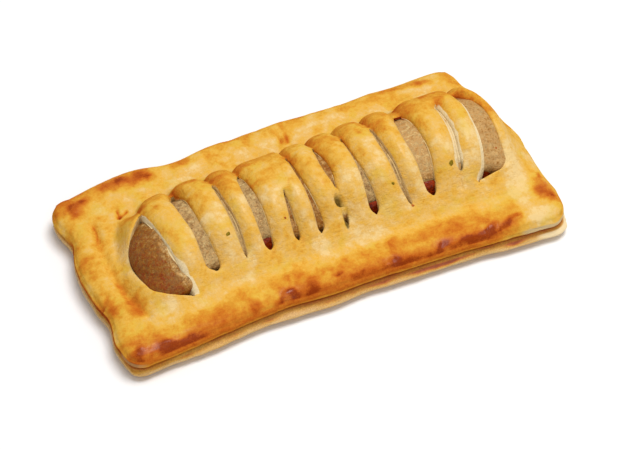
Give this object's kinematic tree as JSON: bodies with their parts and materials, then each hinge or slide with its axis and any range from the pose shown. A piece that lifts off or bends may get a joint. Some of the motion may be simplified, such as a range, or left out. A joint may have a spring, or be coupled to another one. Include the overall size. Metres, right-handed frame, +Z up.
{
  "type": "sausage roll",
  "caption": "Rectangular puff pastry roll: a flat lower sheet, an arched upper sheet cut into strips, and a sausage in dark sauce showing through the cuts and end openings.",
  "frame": {"origin": "middle of the flat underside", "axes": "+X along the roll, +Y to its back, +Z up from the surface it lies on"},
  "size_m": [0.1688, 0.0838, 0.0296],
  "materials": {
    "base_dough": "matte",
    "glazed_crust": "satin",
    "sausage_meat": "satin",
    "dark_sauce": "glossy"
  },
  "bodies": {
    "root": {"pastry_base": "base_dough", "pastry_top": "glazed_crust", "sausage": "sausage_meat", "sauce": "dark_sauce"}
  },
  "joints": []
}
